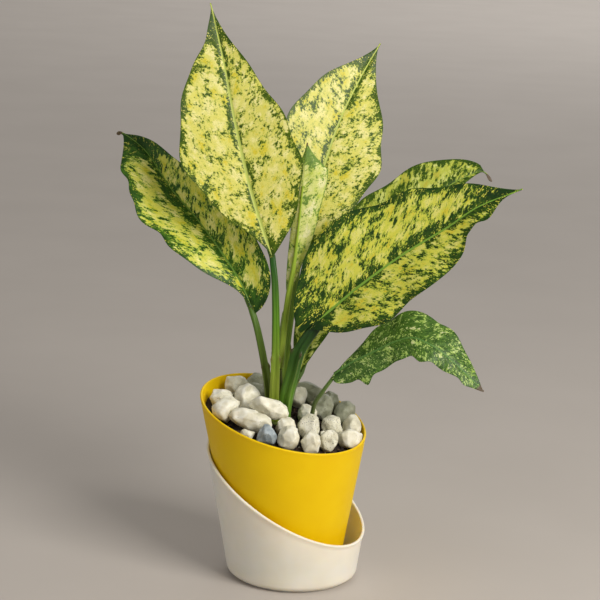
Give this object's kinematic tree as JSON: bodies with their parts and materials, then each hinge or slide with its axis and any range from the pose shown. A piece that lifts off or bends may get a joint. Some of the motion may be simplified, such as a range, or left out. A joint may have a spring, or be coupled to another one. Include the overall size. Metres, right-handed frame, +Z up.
{
  "type": "potted chinese evergreen",
  "caption": "Variegated foliage plant in a slant-topped inner pot that stands in a lower slanted outer pot, with a pebble top dressing.",
  "frame": {"origin": "the middle of the outer pot's flat underside, on the surface it stands on", "axes": "+Z up, -Y the front as pictured, +X to the right"},
  "size_m": [0.2844, 0.1537, 0.4062],
  "materials": {
    "outer_pot": "cream moulded plastic, satin",
    "inner_pot": "yellow moulded plastic, satin",
    "soil": "dark damp potting soil",
    "stem": "green ringed cane",
    "pale_leaf": "cream and green variegated leaf, glossy cuticle",
    "young_leaf": "pale underside of a rolled young leaf",
    "green_leaf": "green leaf with yellow blotches, glossy cuticle",
    "white_pebble": "tumbled off-white stone",
    "grey_pebble": "tumbled grey stone"
  },
  "bodies": {
    "root": {"inner_pot": "inner_pot", "leaf_back_right": "green_leaf", "leaf_broad_right": "green_leaf", "leaf_folded_left": "pale_leaf", "leaf_old_drooping": "green_leaf", "leaf_tall_front": "pale_leaf", "leaf_upper_right": "pale_leaf", "leaf_young_spear": "young_leaf", "outer_pot": "outer_pot", "pebble_01": "grey_pebble", "pebble_02": "white_pebble", "pebble_03": "white_pebble", "pebble_04": "white_pebble", "pebble_05": "white_pebble", "pebble_06": "white_pebble", "pebble_07": "white_pebble", "pebble_08": "white_pebble", "pebble_09": "white_pebble", "pebble_10": "white_pebble", "pebble_11": "white_pebble", "pebble_12": "white_pebble", "pebble_13": "white_pebble", "pebble_14": "grey_pebble", "pebble_15": "grey_pebble", "pebble_16": "white_pebble", "pebble_17": "white_pebble", "pebble_18": "grey_pebble", "pebble_19": "white_pebble", "pebble_20": "grey_pebble", "pebble_21": "grey_pebble", "pebble_22": "grey_pebble", "pebble_23": "white_pebble", "pebble_24": "white_pebble", "pebble_25": "white_pebble", "pebble_26": "white_pebble", "pebble_27": "white_pebble", "pebble_28": "white_pebble", "pebble_29": "white_pebble", "pebble_30": "grey_pebble", "pebble_31": "white_pebble", "pebble_32": "white_pebble", "soil": "soil", "stem": "stem"}
  },
  "joints": []
}
